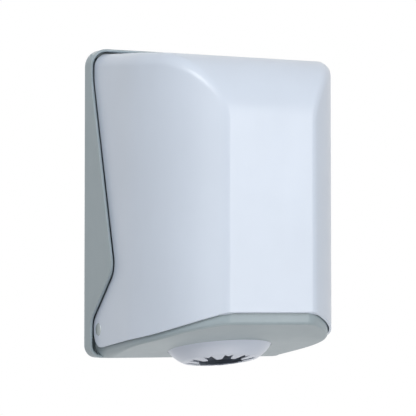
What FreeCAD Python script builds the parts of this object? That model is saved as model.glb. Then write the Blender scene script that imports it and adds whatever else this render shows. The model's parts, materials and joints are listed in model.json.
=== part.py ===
import FreeCAD, Part
import math
import os

# Wall-mounted centre-feed paper dispenser: a grey back plate and bottom tray, a white cover
# that swings down about two pins at its lower rear corners, a white bayonet nozzle that the
# paper is pulled through, and a key lock in the cover's top.
#
# Millimetres. The origin is the centre of the four wall-screw holes, on the wall plane.
# X runs to the right, Y into the wall and Z up. A depth is a distance from the wall: y = -depth.

Vector = FreeCAD.Vector
X_AXIS = Vector(1, 0, 0)
Z_AXIS = Vector(0, 0, 1)

# ---- Driving dimensions -------------------------------------------------------------------

# back plate
PLATE_WIDTH = 250.0
PLATE_HEIGHT = 350.0
PLATE_WALL = 3.0
PLATE_TOP_RADIUS = 20.0
PLATE_FOOT_RADIUS = 14.0
RIM_DEPTH = 17.0
EDGE_EASE = 0.9

# side wings of the back plate, which rise in front of the rim
WING_TOP_DROP = 37.0
WING_TIP_DEPTH = 75.9
WING_TIP_RISE = 98.7
WING_TIP_RADIUS = 22.0
WING_FOOT_RISE = 42.5
WING_TOP_RADIUS = 60.0
WING_FOOT_RADIUS = 18.0

# wall screws and stiffening ribs
WALL_SCREW_SPACING_X = 160.0
WALL_SCREW_SPACING_Z = 200.0
WALL_SCREW_HOLE_R = 2.75
WALL_BOSS_R = 8.0
WALL_BOSS_HEIGHT = 4.0
RIB_WALL = 2.0
RIB_HEIGHT = 5.0
RIB_SPACING = 80.0

# cover
CASE_DEPTH = 215.0
COVER_WALL = 2.5
COVER_GAP = 2.5
COVER_LAP = 3.0
COVER_ROUND = 16.0
COVER_INNER_EASE = 8.0
FRONT_WIDTH = 107.0
CREASE_TURN = 31.0
TOP_SLOPE = 5.0
TOP_FRONT_RADIUS = 75.0

# lower edge of the cover: two straight runs and the bend between them
EDGE_FRONT_RISE = 51.7
EDGE_FRONT_ANGLE = 25.6
EDGE_REAR_ANGLE = 7.4
EDGE_BEND_SETBACK = 45.7
EDGE_BEND_RADIUS = 300.0
EDGE_HEEL_RADIUS = 18.0

# bottom tray
TRAY_WALL = 3.0
TRAY_GAP = 1.5
TRAY_TUCK = 6.0
TRAY_REAR_ROUND = 14.0
TRAY_FRONT_ROUND = 4.0
TRAY_INNER_EASE = 6.0
TRAY_CORNER_ROUND = 24.0
TRAY_REAR = 10.0
TRAY_FLANGE_WALL = 2.5
TRAY_FLANGE_RISE = 27.0
TRAY_SLOPE = 10.1
TRAY_FRONT_SLOPE = 15.3
TRAY_BEND_SETBACK = 65.0
TRAY_BEND_RADIUS = 250.0
TRAY_SEAM_GAP = 0.3
TRAY_SCREW_INSET = 28.0
TRAY_SCREW_INNER = 35.0
SHELF_RISE = 43.0
SHELF_RIB_REACH = 24.0
SHELF_RIB_COUNT = 8
GUARD_RING_HEIGHT = 12.0

# nozzle
NOZZLE_DEPTH = 91.7
NOZZLE_RISE = 11.4
NOZZLE_FLANGE_R = 58.0
NOZZLE_FLANGE_WALL = 2.0
NOZZLE_PROUD = 0.7
NOZZLE_WALL = 2.0
NOZZLE_HEIGHT = 17.0
NOZZLE_MOUTH_R = 20.0
NOZZLE_SHOULDER_R = 42.0
NOZZLE_SHOULDER_Z = 13.6
NOZZLE_BULGE = 1.2
BOWL_FLOOR_WALL = 1.3
BOWL_BANDS = 5
NOZZLE_COLLAR_R = 50.0
NOZZLE_COLLAR_HEIGHT = 6.0
NOZZLE_TURN = 27.0
NOZZLE_RADIAL_CLEAR = 0.3
NOZZLE_AXIAL_CLEAR = 0.15
STAR_TIP_R = 40.0
STAR_TOOTH_R = 35.5
STAR_LOBE_R = 25.0
STAR_LOBE_WIDTH = 6.0
STAR_LOBE_ROUND = 2.8
STAR_GROUPS = 10
STAR_PAIR_ANGLE = 14.0
STAR_PHASE = -3.5
LUG_REACH = 4.5
LUG_HEIGHT = 2.5
LUG_ANGLE = 24.0
FINGER_NOTCH_WIDTH = 5.0
FINGER_NOTCH_DEPTH = 2.0

# hinge
HINGE_DEPTH = 26.5
HINGE_RISE = 32.1
PIN_R = 4.0
PIN_HEAD_R = 7.0
PIN_HEAD_WALL = 1.4
PIN_HEAD_SINK = 1.0
PIN_RUNNING_CLEAR = 0.05
BUSH_WALL = 1.0
BUSH_FLANGE_R = 6.5
EAR_WALL = 4.0
EAR_R = 9.0
SIDE_CLEAR = 0.1
CLIP_R = 7.0
CLIP_WALL = 0.8
CLIP_SLOT = 2.0
PIN_TAIL = 1.5

# lock in the cover's top
LOCK_DEPTH = 38.0
LOCK_FLANGE_R = 10.0
LOCK_FLANGE_WALL = 1.8
LOCK_BARREL_R = 8.0
LOCK_BARREL_FLAT = 7.0
LOCK_BARREL_LENGTH = 20.0
LOCK_BOSS_R = 14.0
LOCK_BOSS_HEIGHT = 1.5
LOCK_NUT_FLATS = 20.0
LOCK_NUT_HEIGHT = 4.0
PLUG_R = 6.0
PLUG_SINK = 0.3
KEYWAY_WIDTH = 1.6
KEYWAY_LENGTH = 7.0
KEYWAY_DEPTH = 6.0
CAM_SQUARE = 7.0
CAM_WALL = 2.0
CAM_GAP = 0.4
CAM_HUB_R = 8.5
CAM_WIDTH = 9.0
CAM_REACH = 22.0
WASHER_R = 6.0
WASHER_WALL = 1.0
CAM_SCREW_R = 2.0
CAM_SCREW_HEAD_R = 4.0
CAM_SCREW_HEAD_HEIGHT = 2.6
CAM_SCREW_GRIP = 7.0

# keeper that the cam locks behind
KEEPER_OFFSET = 18.0
KEEPER_WIDTH = 10.0
KEEPER_WALL = 1.5
KEEPER_CAM_GAP = 0.8
KEEPER_LIP = 7.0
KEEPER_FLANGE_WIDTH = 34.0
KEEPER_FLANGE_HEIGHT = 18.0
KEEPER_SCREW_SPACING = 24.0

# small screws and stops
SCREW_R = 2.0
SCREW_HEAD_R = 3.8
SCREW_HEAD_HEIGHT = 2.4
SCREW_GRIP = 6.0
BOSS_R = 5.5
BUFFER_R = 4.0
BUFFER_SPACING = 180.0
BUFFER_GAP = 0.3

# ---- Worked-out values --------------------------------------------------------------------

TOP_Z = PLATE_HEIGHT / 2
FOOT_Z = -PLATE_HEIGHT / 2
PLATE_HALF = PLATE_WIDTH / 2
COVER_HALF = PLATE_HALF - PLATE_WALL - COVER_GAP
COVER_REAR = RIM_DEPTH - COVER_LAP
COVER_TOP_Z = TOP_Z - PLATE_WALL - COVER_GAP

# plan of the case: straight sides, then one arc on each side up to the front crease
SIDE_TURN = math.radians(90.0 - CREASE_TURN)
SIDE_ARC = (COVER_HALF - FRONT_WIDTH / 2) / (1 - math.cos(SIDE_TURN))
ARC_START = CASE_DEPTH - SIDE_ARC * math.sin(SIDE_TURN)
ARC_OVERRUN = math.radians(4.0)

EDGE_FRONT_Z = FOOT_Z + EDGE_FRONT_RISE
EDGE_BEND_DEPTH = CASE_DEPTH - EDGE_BEND_SETBACK
EDGE_BEND_Z = EDGE_FRONT_Z - EDGE_BEND_SETBACK * math.tan(math.radians(EDGE_FRONT_ANGLE))

TRAY_INSET = COVER_WALL + TRAY_GAP
TRAY_HALF = COVER_HALF - TRAY_INSET
TRAY_TILT = math.radians(TRAY_SLOPE)
TRAY_FRONT = CASE_DEPTH - TRAY_INSET
SEAT_Z = FOOT_Z + NOZZLE_RISE
SHELF_Z = FOOT_Z + SHELF_RISE

HINGE_Z = FOOT_Z + HINGE_RISE
EAR_OUTER = COVER_HALF - COVER_WALL - SIDE_CLEAR - BUSH_WALL
EAR_INNER = EAR_OUTER - EAR_WALL
BUSH_BORE_R = PIN_R + PIN_RUNNING_CLEAR
BUSH_R = BUSH_BORE_R + BUSH_WALL
CLIP_OUTER = EAR_INNER - SIDE_CLEAR
CLIP_INNER = CLIP_OUTER - CLIP_WALL

STEP_DEPTH = 400.0
CUT_MARGIN = 20.0


def at(x, depth, z):
    """Point at x, at a distance from the wall, at height z."""
    return Vector(x, -depth, z)


# ---- Outline and solid helpers ------------------------------------------------------------

def rounded_wire(corners, place):
    """Closed wire through corners (u, v, radius); place turns (u, v) into a point."""
    spots = [Vector(u, v, 0) for u, v, radius in corners]
    starts = []
    middles = []
    ends = []
    for i, (u, v, radius) in enumerate(corners):
        here = spots[i]
        back = (spots[i - 1] - here).normalize()
        ahead = (spots[(i + 1) % len(spots)] - here).normalize()
        half = back.getAngle(ahead) / 2
        trim = radius / math.tan(half)
        inward = (back + ahead).normalize() if radius else Vector(0, 0, 0)
        starts.append(here + back * trim)
        middles.append(here + inward * (radius / math.sin(half) - radius))
        ends.append(here + ahead * trim)
    edges = []
    for i, (u, v, radius) in enumerate(corners):
        if radius:
            arc = [place(p.x, p.y) for p in (starts[i], middles[i], ends[i])]
            edges.append(Part.Arc(*arc).toShape())
        following = starts[(i + 1) % len(starts)]
        if ends[i].distanceToPoint(following) > 1e-6:
            edges.append(Part.LineSegment(place(ends[i].x, ends[i].y),
                                          place(following.x, following.y)).toShape())
    return Part.Wire(edges)


def side_wire(corners, x):
    return rounded_wire(corners, lambda depth, z: at(x, depth, z))


def side_prism(corners, x0, x1):
    """Side outline (depth, z, radius) carried from x0 to x1."""
    return Part.Face(side_wire(corners, x0)).extrude(Vector(x1 - x0, 0, 0))


def front_wire(corners, depth):
    return rounded_wire(corners, lambda x, z: at(x, depth, z))


def front_prism(corners, depth0, depth1):
    """Front outline (x, z, radius) carried from one depth to another."""
    return Part.Face(front_wire(corners, depth0)).extrude(Vector(0, depth0 - depth1, 0))


def flat_prism(corners, z0, z1):
    """Outline (x, y, radius) carried from z0 to z1."""
    wire = rounded_wire(corners, lambda x, y: Vector(x, y, z0))
    return Part.Face(wire).extrude(Vector(0, 0, z1 - z0))


def block(x0, x1, depth0, depth1, z0, z1):
    return Part.makeBox(x1 - x0, depth1 - depth0, z1 - z0, at(x0, depth1, z0))


def rod_x(x0, x1, radius, depth, z):
    """Cylinder along X between x0 and x1, in either order."""
    return Part.makeCylinder(radius, abs(x1 - x0), at(min(x0, x1), depth, z), X_AXIS)


def rod_out(x, z, radius, depth0, depth1):
    """Cylinder that stands out from the wall, from depth0 to depth1."""
    return Part.makeCylinder(radius, depth1 - depth0, at(x, depth0, z), Vector(0, -1, 0))


def rod_up(radius, z0, z1):
    return Part.makeCylinder(radius, z1 - z0, Vector(0, 0, z0))


def joined(shapes):
    return shapes[0].multiFuse(shapes[1:]).removeSplitter()


def middle_of(edge):
    return edge.valueAt((edge.FirstParameter + edge.LastParameter) / 2)


def mirrored(shape):
    return shape.mirror(Vector(0, 0, 0), X_AXIS)


# ---- Shared forms -------------------------------------------------------------------------

def cover_top(depth):
    """Height of the cover's outer top face at a depth."""
    return COVER_TOP_Z - (depth - COVER_REAR) * math.tan(math.radians(TOP_SLOPE))


def edge_line(depth):
    """Height of the rear run of the cover's lower edge."""
    return EDGE_BEND_Z - (EDGE_BEND_DEPTH - depth) * math.tan(math.radians(EDGE_REAR_ANGLE))


def edge_front(depth):
    """Height of the front run of the cover's lower edge."""
    return EDGE_FRONT_Z + (depth - CASE_DEPTH) * math.tan(math.radians(EDGE_FRONT_ANGLE))


def tray_under(depth):
    """Height of the tray's underside on the plane that the nozzle sits in."""
    return SEAT_Z + (depth - NOZZLE_DEPTH) * math.tan(TRAY_TILT)


def case_plan(inset, rear):
    """Upright solid on the plan of the case, set in all round and open past the front."""
    half = COVER_HALF - inset
    radius = SIDE_ARC - inset
    centre_x = COVER_HALF - SIDE_ARC
    end = SIDE_TURN + ARC_OVERRUN
    low = FOOT_Z - CUT_MARGIN

    def on_arc(side, angle):
        return at(side * (centre_x + radius * math.cos(angle)),
                  ARC_START + radius * math.sin(angle), low)

    edges = [Part.LineSegment(at(-half, rear, low), at(-half, ARC_START, low)).toShape(),
             Part.Arc(on_arc(-1, 0), on_arc(-1, end / 2), on_arc(-1, end)).toShape(),
             Part.LineSegment(on_arc(-1, end), on_arc(1, end)).toShape(),
             Part.Arc(on_arc(1, end), on_arc(1, end / 2), on_arc(1, 0)).toShape(),
             Part.LineSegment(at(half, ARC_START, low), at(half, rear, low)).toShape(),
             Part.LineSegment(at(half, rear, low), at(-half, rear, low)).toShape()]
    return Part.Face(Part.Wire(edges)).extrude(Vector(0, 0, PLATE_HEIGHT + 2 * CUT_MARGIN))


def case_form(inset, rear):
    """Closed form of the case: plan and side outline together, its creases left sharp."""
    low = FOOT_Z - CUT_MARGIN
    front = CASE_DEPTH - inset
    drop = inset / math.cos(math.radians(TOP_SLOPE))
    outline = [(rear, low, 0), (front, low, 0),
               (front, cover_top(front) - drop, TOP_FRONT_RADIUS - inset),
               (rear, cover_top(rear) - drop, 0)]
    return case_plan(inset, rear).common(side_prism(outline, -PLATE_HALF, PLATE_HALF))


def case_creases(solid, inset, rear):
    """Edges that run from the case's front corners over its top and back to the wall."""
    low = FOOT_Z - CUT_MARGIN
    front = CASE_DEPTH - inset
    creases = []
    for edge in solid.Edges:
        mid = middle_of(edge)
        box = edge.BoundBox
        seam = box.XLength + box.YLength < 1e-3 and -mid.y < front - 1.0
        on_end = -mid.y < rear + 1e-3 or mid.z < low + 1e-3
        if abs(mid.x) > 1.0 and not seam and not on_end:
            creases.append(edge)
    return creases


def wing_edge(back):
    """Corners of the wing's front edge from top to foot, set back towards the wall."""
    return [(RIM_DEPTH - back, TOP_Z - WING_TOP_DROP, WING_TOP_RADIUS),
            (WING_TIP_DEPTH - back, FOOT_Z + WING_TIP_RISE, WING_TIP_RADIUS),
            (RIM_DEPTH - back, FOOT_Z + WING_FOOT_RISE, WING_FOOT_RADIUS)]


def lock_placed(shape):
    """Move a lock piece from its own frame to the cover's top, square to its face."""
    placed = shape.copy()
    frame = FreeCAD.Placement(at(0, LOCK_DEPTH, cover_top(LOCK_DEPTH)),
                              FreeCAD.Rotation(X_AXIS, TOP_SLOPE))
    placed.Placement = frame.multiply(placed.Placement)
    return placed


def nozzle_placed(shape):
    """Move a nozzle piece from its own frame to the tray's sloping seat."""
    placed = shape.copy()
    frame = FreeCAD.Placement(at(0, NOZZLE_DEPTH, SEAT_Z), FreeCAD.Rotation(X_AXIS, -TRAY_SLOPE))
    placed.Placement = frame.multiply(placed.Placement)
    return placed


def turned(shape, angle):
    placed = shape.copy()
    placed.rotate(Vector(0, 0, 0), Z_AXIS, angle)
    return placed


def sector(radius0, radius1, z0, z1, angle, centre):
    """Block of a ring, angle wide, about a centre angle counted from X."""
    outer = Part.makeCylinder(radius1, z1 - z0, Vector(0, 0, z0), Z_AXIS, angle)
    piece = outer.cut(rod_up(radius0, z0 - 1, z1 + 1))
    return turned(piece, centre - angle / 2)


def pan_screw(grip):
    """Pan-head screw along +Z with its head's underside at z = 0 and its shank below."""
    return joined([rod_up(SCREW_HEAD_R, 0, SCREW_HEAD_HEIGHT), rod_up(SCREW_R, -grip, 0)])


def screw_out(x, depth, z, grip):
    """Pan-head screw driven towards the wall, its head seated at a depth."""
    screw = pan_screw(grip)
    frame = FreeCAD.Placement(at(x, depth, z), FreeCAD.Rotation(X_AXIS, 90))
    screw.Placement = frame.multiply(screw.Placement)
    return screw


# ---- Back plate ---------------------------------------------------------------------------

def plate_outline(inset):
    half = PLATE_HALF - inset
    top = TOP_Z - inset
    foot = FOOT_Z + inset
    top_radius = PLATE_TOP_RADIUS - inset
    foot_radius = PLATE_FOOT_RADIUS - inset
    return [(-half, foot, foot_radius), (half, foot, foot_radius),
            (half, top, top_radius), (-half, top, top_radius)]


def wing_outline(back):
    """Side outline of a wing whose front edge is set back towards the wall."""
    root = RIM_DEPTH - 2 * EDGE_EASE
    front = RIM_DEPTH - back
    top, tip, foot = wing_edge(back)
    high = top[1] + WING_TOP_RADIUS / 2
    low = foot[1] - WING_FOOT_RADIUS
    return [(root, high, 0), (front, high, 0), top, tip, foot, (front, low, 0), (root, low, 0)]


def wing(x0):
    """One side wing, with both front edges eased, on the rim's side wall that starts at x0."""
    x1 = x0 + PLATE_WALL
    sections = [side_wire(wing_outline(back), x) for x, back in
                ((x0, EDGE_EASE), (x0 + EDGE_EASE, 0), (x1 - EDGE_EASE, 0), (x1, EDGE_EASE))]
    return Part.makeLoft(sections, True, True)


def rim():
    """Wall round the plate, with both front edges eased."""
    eased = RIM_DEPTH - EDGE_EASE
    outside = Part.makeLoft([front_wire(plate_outline(inset), depth) for inset, depth in
                             ((0, 0), (0, eased), (EDGE_EASE, RIM_DEPTH))], True, True)
    inside = Part.makeLoft([front_wire(plate_outline(inset), depth) for inset, depth in
                            ((PLATE_WALL, PLATE_WALL), (PLATE_WALL, eased),
                             (PLATE_WALL - EDGE_EASE, RIM_DEPTH))], True, True)
    return outside.cut(inside)


def hinge_ear(x0):
    """Bracket that carries the hinge pin, standing out from the plate."""
    plate = PLATE_WALL / 2
    corners = [(plate, HINGE_Z - EAR_R, 0), (HINGE_DEPTH + EAR_R, HINGE_Z - EAR_R, EAR_R * 0.999),
               (HINGE_DEPTH + EAR_R, HINGE_Z + EAR_R, EAR_R * 0.999),
               (RIM_DEPTH, HINGE_Z + EAR_R, EAR_R), (plate, HINGE_Z + 2.5 * EAR_R, 0)]
    return side_prism(corners, x0, x0 + EAR_WALL)


def wall_screw_places():
    return [(sx * WALL_SCREW_SPACING_X / 2, sz * WALL_SCREW_SPACING_Z / 2)
            for sx in (-1, 1) for sz in (-1, 1)]


def tray_screw_places():
    outer = TRAY_HALF - TRAY_SCREW_INSET
    z = FOOT_Z + TRAY_FLANGE_RISE - BOSS_R - 2.5
    return [(x, z) for x in (-outer, -TRAY_SCREW_INNER, TRAY_SCREW_INNER, outer)]


def keeper_screw_places():
    z = keeper_flange_top() - KEEPER_FLANGE_HEIGHT / 2
    return [(-KEEPER_OFFSET + side * KEEPER_SCREW_SPACING / 2, z) for side in (-1, 1)]


def plate_ribs():
    """Upright and level ribs on the plate's front, through the wall-screw bosses."""
    depth = PLATE_WALL + RIB_HEIGHT
    half_z = WALL_SCREW_SPACING_Z / 2
    half_x = WALL_SCREW_SPACING_X / 2
    ribs = []
    for x in (-half_x, -RIB_SPACING / 2, RIB_SPACING / 2, half_x):
        ribs.append(block(x - RIB_WALL / 2, x + RIB_WALL / 2, PLATE_WALL / 2, depth, -half_z, half_z))
    for z in (-half_z, 0, half_z):
        ribs.append(block(-half_x, half_x, PLATE_WALL / 2, depth, z - RIB_WALL / 2, z + RIB_WALL / 2))
    return ribs


def back_plate():
    frame = joined([rim(), wing(-PLATE_HALF), wing(PLATE_HALF - PLATE_WALL)])
    ears = [hinge_ear(EAR_INNER), hinge_ear(-EAR_OUTER)]
    bosses = [rod_out(x, z, WALL_BOSS_R, PLATE_WALL / 2, PLATE_WALL + WALL_BOSS_HEIGHT)
              for x, z in wall_screw_places()]
    pillars = [block(x - BOSS_R, x + BOSS_R, PLATE_WALL / 2, TRAY_REAR, z - BOSS_R, z + BOSS_R)
               for x, z in tray_screw_places()]
    plate = joined([frame] + ears + plate_ribs() + bosses + pillars)
    for x, z in wall_screw_places():
        plate = plate.cut(rod_out(x, z, WALL_SCREW_HOLE_R, -1, STEP_DEPTH))
    for x, z in tray_screw_places():
        start = TRAY_REAR + TRAY_FLANGE_WALL - SCREW_GRIP
        plate = plate.cut(rod_out(x, z, SCREW_R, start, STEP_DEPTH))
    for x, z in keeper_screw_places():
        plate = plate.cut(rod_out(x, z, SCREW_R, -1, PLATE_WALL + 1))
    bores = joined([rod_x(EAR_INNER - 1, EAR_OUTER + 1, BUSH_R, HINGE_DEPTH, HINGE_Z),
                    rod_x(-EAR_OUTER - 1, -EAR_INNER + 1, BUSH_R, HINGE_DEPTH, HINGE_Z)])
    return plate.cut(bores)


# ---- Cover --------------------------------------------------------------------------------

def cover_silhouette():
    """Side outline of the cover: wing gap behind, swept lower edge, open above and in front."""
    high = TOP_Z + CUT_MARGIN
    far = CASE_DEPTH + CUT_MARGIN
    heel = COVER_REAR
    top, tip, foot = wing_edge(COVER_LAP)
    return [(heel, high, 0), top, tip, foot,
            (heel, edge_line(heel), EDGE_HEEL_RADIUS),
            (EDGE_BEND_DEPTH, EDGE_BEND_Z, EDGE_BEND_RADIUS),
            (far, edge_front(far), 0), (far, high, 0)]


def cover():
    rear = COVER_REAR - COVER_LAP
    outside = case_form(0, rear)
    outside = outside.makeFillet(COVER_ROUND, case_creases(outside, 0, rear))
    rear -= COVER_LAP
    inside = case_form(COVER_WALL, rear)
    inside = inside.makeChamfer(COVER_INNER_EASE, case_creases(inside, COVER_WALL, rear))
    shell = outside.cut(inside)
    shell = shell.common(side_prism(cover_silhouette(), -PLATE_HALF, PLATE_HALF))
    boss = lock_placed(rod_up(LOCK_BOSS_R, -COVER_WALL - LOCK_BOSS_HEIGHT, -COVER_WALL / 2))
    shell = joined([shell, boss])
    shell = shell.cut(lock_placed(barrel_form(-CUT_MARGIN, CUT_MARGIN)))
    for side in (-1, 1):
        outer = side * COVER_HALF
        shell = shell.cut(rod_x(outer - side * 2 * COVER_WALL, outer + side, PIN_R, HINGE_DEPTH, HINGE_Z))
        shell = shell.cut(rod_x(outer - side * PIN_HEAD_SINK, outer + side, PIN_HEAD_R,
                                HINGE_DEPTH, HINGE_Z))
    return shell


# ---- Bottom tray --------------------------------------------------------------------------

def tray_form(inset, rear, raise_by, top_by):
    """Solid between the tray's floor and a line that follows the cover's lower edge."""
    front = CASE_DEPTH - inset
    bend = CASE_DEPTH - TRAY_BEND_SETBACK
    low = FOOT_Z + raise_by
    lift = raise_by / math.cos(TRAY_TILT)
    level = NOZZLE_DEPTH + (low - lift - SEAT_Z) / math.tan(TRAY_TILT)
    rise = math.tan(math.radians(TRAY_FRONT_SLOPE))
    bend_z = tray_under(bend) + lift
    corners = [(rear, low, 0), (level, low, 0), (bend, bend_z, TRAY_BEND_RADIUS),
               (front, bend_z + (front - bend) * rise, 0),
               (front, edge_front(front) + top_by, 0),
               (EDGE_BEND_DEPTH, EDGE_BEND_Z + top_by, EDGE_BEND_RADIUS),
               (rear, edge_line(rear) + top_by, 0)]
    plan = case_plan(inset, rear).common(block(-PLATE_HALF, PLATE_HALF, rear, front,
                                               FOOT_Z - CUT_MARGIN, TOP_Z))
    creases = [edge for edge in plan.Edges
               if edge.BoundBox.ZLength > PLATE_HEIGHT / 2 and -middle_of(edge).y > front - 1.0]
    plan = plan.makeFillet(TRAY_CORNER_ROUND, creases)
    return plan.common(side_prism(corners, -PLATE_HALF, PLATE_HALF))


def rounded_below(solid):
    """Round the tray's lower edge, widely by the plate's foot and less towards the front.

    The rounding of the right-hand side runs on round the front, and the left half mirrors it.
    """
    for edge in solid.Edges:
        mid = middle_of(edge)
        box = edge.BoundBox
        slopes = box.XLength < 1e-3 and min(box.YLength, box.ZLength) > 1.0
        if slopes and mid.x > 0 and mid.z < edge_line(-mid.y):
            sloping = edge
    rounded = solid.makeFillet(TRAY_REAR_ROUND, TRAY_FRONT_ROUND, [sloping])
    right = rounded.common(block(0, PLATE_HALF, 0, CASE_DEPTH, FOOT_Z, TOP_Z))
    return joined([right, mirrored(right)])


def lower_edges(solid, front, top_by):
    """Edges between the tray's floor and its sides and front."""
    lower = []
    for edge in solid.Edges:
        mid = middle_of(edge)
        box = edge.BoundBox
        near_floor = mid.z < edge_line(-mid.y) + top_by - TRAY_INNER_EASE
        across = box.YLength < 1e-3 and abs(-mid.y - front) > 1.0
        upright = box.XLength + box.YLength < 1e-3
        if near_floor and not across and not upright:
            lower.append(edge)
    return lower


def shelf_ribs():
    """Ribs round the nozzle whose level tops carry the roll, cut to the floor below."""
    inner = NOZZLE_FLANGE_R
    outer = inner + SHELF_RIB_REACH
    blanks = []
    for i in range(SHELF_RIB_COUNT):
        rib = Part.makeBox(outer - inner, RIB_WALL, SHELF_Z - FOOT_Z,
                           Vector(inner, -RIB_WALL / 2, FOOT_Z))
        blanks.append(turned(rib, (i + 0.5) * 360 / SHELF_RIB_COUNT))
    ribs = Part.makeCompound(blanks)
    ribs.translate(at(0, NOZZLE_DEPTH, 0))
    return ribs


def bottom_tray():
    outer = rounded_below(tray_form(TRAY_INSET, TRAY_REAR, 0, TRAY_TUCK))
    open_top = TRAY_TUCK + CUT_MARGIN
    inner = tray_form(TRAY_INSET + TRAY_WALL, TRAY_REAR + TRAY_FLANGE_WALL, TRAY_WALL, open_top)
    inner = inner.makeChamfer(TRAY_INNER_EASE, lower_edges(inner, TRAY_FRONT - TRAY_WALL, open_top))
    flange_top = FOOT_Z + TRAY_FLANGE_RISE
    flange = block(-TRAY_HALF + TRAY_SCREW_INSET / 2, TRAY_HALF - TRAY_SCREW_INSET / 2,
                   TRAY_REAR, TRAY_REAR + TRAY_FLANGE_WALL, FOOT_Z + TRAY_WALL, flange_top)
    guard = rod_up(NOZZLE_FLANGE_R + TRAY_WALL, 0, GUARD_RING_HEIGHT)
    guard = nozzle_placed(guard.cut(rod_up(NOZZLE_FLANGE_R, -1, GUARD_RING_HEIGHT + 1)))
    room = tray_form(TRAY_INSET + TRAY_REAR_ROUND, TRAY_REAR, TRAY_WALL / 2, STEP_DEPTH / 4)
    carried = joined([outer.cut(inner), flange, guard] + [rib.common(room) for rib in shelf_ribs().Solids])
    rim_room = front_prism(plate_outline(PLATE_WALL + TRAY_SEAM_GAP), -1, RIM_DEPTH + 1)
    seam = block(-PLATE_HALF, PLATE_HALF, 0, RIM_DEPTH + TRAY_SEAM_GAP, FOOT_Z - 1, 0)
    tray = carried.cut(seam.cut(rim_room))
    recess = NOZZLE_FLANGE_WALL - NOZZLE_PROUD + NOZZLE_AXIAL_CLEAR
    seat = [rod_up(NOZZLE_FLANGE_R + NOZZLE_RADIAL_CLEAR, -CUT_MARGIN, recess),
            rod_up(NOZZLE_COLLAR_R + NOZZLE_RADIAL_CLEAR, -CUT_MARGIN, CUT_MARGIN)]
    for centre in (90.0, 270.0):
        seat.append(sector(NOZZLE_COLLAR_R - 1, NOZZLE_COLLAR_R + LUG_REACH + 2 * NOZZLE_RADIAL_CLEAR,
                           -CUT_MARGIN, CUT_MARGIN, LUG_ANGLE + 4.0, centre))
    tray = tray.cut(nozzle_placed(joined(seat)))
    for x, z in tray_screw_places():
        tray = tray.cut(rod_out(x, z, SCREW_R, 0, TRAY_REAR + CUT_MARGIN))
    return tray


# ---- Nozzle -------------------------------------------------------------------------------
# In the nozzle's own frame z = 0 is the tray's underside and the bowl hangs below it.

def star_outline():
    """Opening of the bowl: rounded lobes with a small tooth in each gap between them."""
    pitch = 360.0 / STAR_GROUPS
    lobe_r = math.hypot(STAR_LOBE_R, STAR_LOBE_WIDTH / 2)
    lobe_turn = math.degrees(math.atan2(STAR_LOBE_WIDTH / 2, STAR_LOBE_R))
    corners = []
    for i in range(STAR_GROUPS):
        gap = STAR_PHASE + i * pitch
        for radius, angle, rounding in ((STAR_TIP_R, gap - STAR_PAIR_ANGLE / 2, 0),
                                        (STAR_TOOTH_R, gap, 0),
                                        (STAR_TIP_R, gap + STAR_PAIR_ANGLE / 2, 0),
                                        (lobe_r, gap + pitch / 2 - lobe_turn, STAR_LOBE_ROUND),
                                        (lobe_r, gap + pitch / 2 + lobe_turn, STAR_LOBE_ROUND)):
            turn = math.radians(angle)
            corners.append((radius * math.cos(turn), radius * math.sin(turn), rounding))
    return corners


def bowl_profile(r_top, z_top, r_low, z_low, bulge):
    """Points along an arc from the flange to the shoulder, standing out from its chord."""
    mid_r = (r_top + r_low) / 2
    mid_z = (z_top + z_low) / 2
    length = math.hypot(r_top - r_low, z_top - z_low)
    out_r = (z_top - z_low) / length
    out_z = -(r_top - r_low) / length
    middle = Vector(mid_r + bulge * out_r, 0, mid_z + bulge * out_z)
    arc = Part.Arc(Vector(r_top, 0, z_top), middle, Vector(r_low, 0, z_low)).toShape()
    return [(point.x, point.z) for point in arc.discretize(BOWL_BANDS + 1)]


def revolved(edges):
    return Part.Face(Part.Wire(edges)).revolve(Vector(0, 0, 0), Z_AXIS, 360)


def polyline(points):
    return [Part.LineSegment(Vector(r0, 0, z0), Vector(r1, 0, z1)).toShape()
            for (r0, z0), (r1, z1) in zip(points, points[1:])]


def nozzle():
    proud = -NOZZLE_PROUD
    back = NOZZLE_FLANGE_WALL - NOZZLE_PROUD
    collar_top = TRAY_WALL + NOZZLE_COLLAR_HEIGHT
    collar_in = NOZZLE_COLLAR_R - NOZZLE_WALL
    bowl_r = NOZZLE_FLANGE_R - NOZZLE_PROUD
    shoulder_r = NOZZLE_SHOULDER_R
    shoulder_z = -NOZZLE_SHOULDER_Z
    floor_z = -NOZZLE_HEIGHT
    outline = bowl_profile(bowl_r, proud, shoulder_r, shoulder_z, NOZZLE_BULGE)
    outline += [(NOZZLE_MOUTH_R, floor_z), (NOZZLE_MOUTH_R, floor_z + BOWL_FLOOR_WALL),
                (shoulder_r - NOZZLE_WALL / 2, shoulder_z + BOWL_FLOOR_WALL),
                (collar_in, shoulder_z / 2), (collar_in, collar_top),
                (NOZZLE_COLLAR_R, collar_top), (NOZZLE_COLLAR_R, back),
                (NOZZLE_FLANGE_R, back), (NOZZLE_FLANGE_R, 0), (bowl_r, proud)]
    body = revolved(polyline(outline))
    lug_low = TRAY_WALL / math.cos(TRAY_TILT) + NOZZLE_AXIAL_CLEAR + 0.1
    lugs = [sector(NOZZLE_COLLAR_R - NOZZLE_WALL / 2, NOZZLE_COLLAR_R + LUG_REACH,
                   lug_low, lug_low + LUG_HEIGHT, LUG_ANGLE, centre) for centre in (90.0, 270.0)]
    body = joined([body] + lugs)
    body = body.cut(flat_prism(star_outline(), -2 * CUT_MARGIN, -NOZZLE_WALL))
    for side in (-1, 1):
        notch = Part.makeBox(2 * FINGER_NOTCH_DEPTH, FINGER_NOTCH_WIDTH, CUT_MARGIN,
                             Vector(-FINGER_NOTCH_DEPTH, -FINGER_NOTCH_WIDTH / 2, -CUT_MARGIN / 2))
        notch.translate(Vector(side * NOZZLE_FLANGE_R, 0, 0))
        body = body.cut(notch)
    return nozzle_placed(turned(body, -NOZZLE_TURN))


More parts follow.
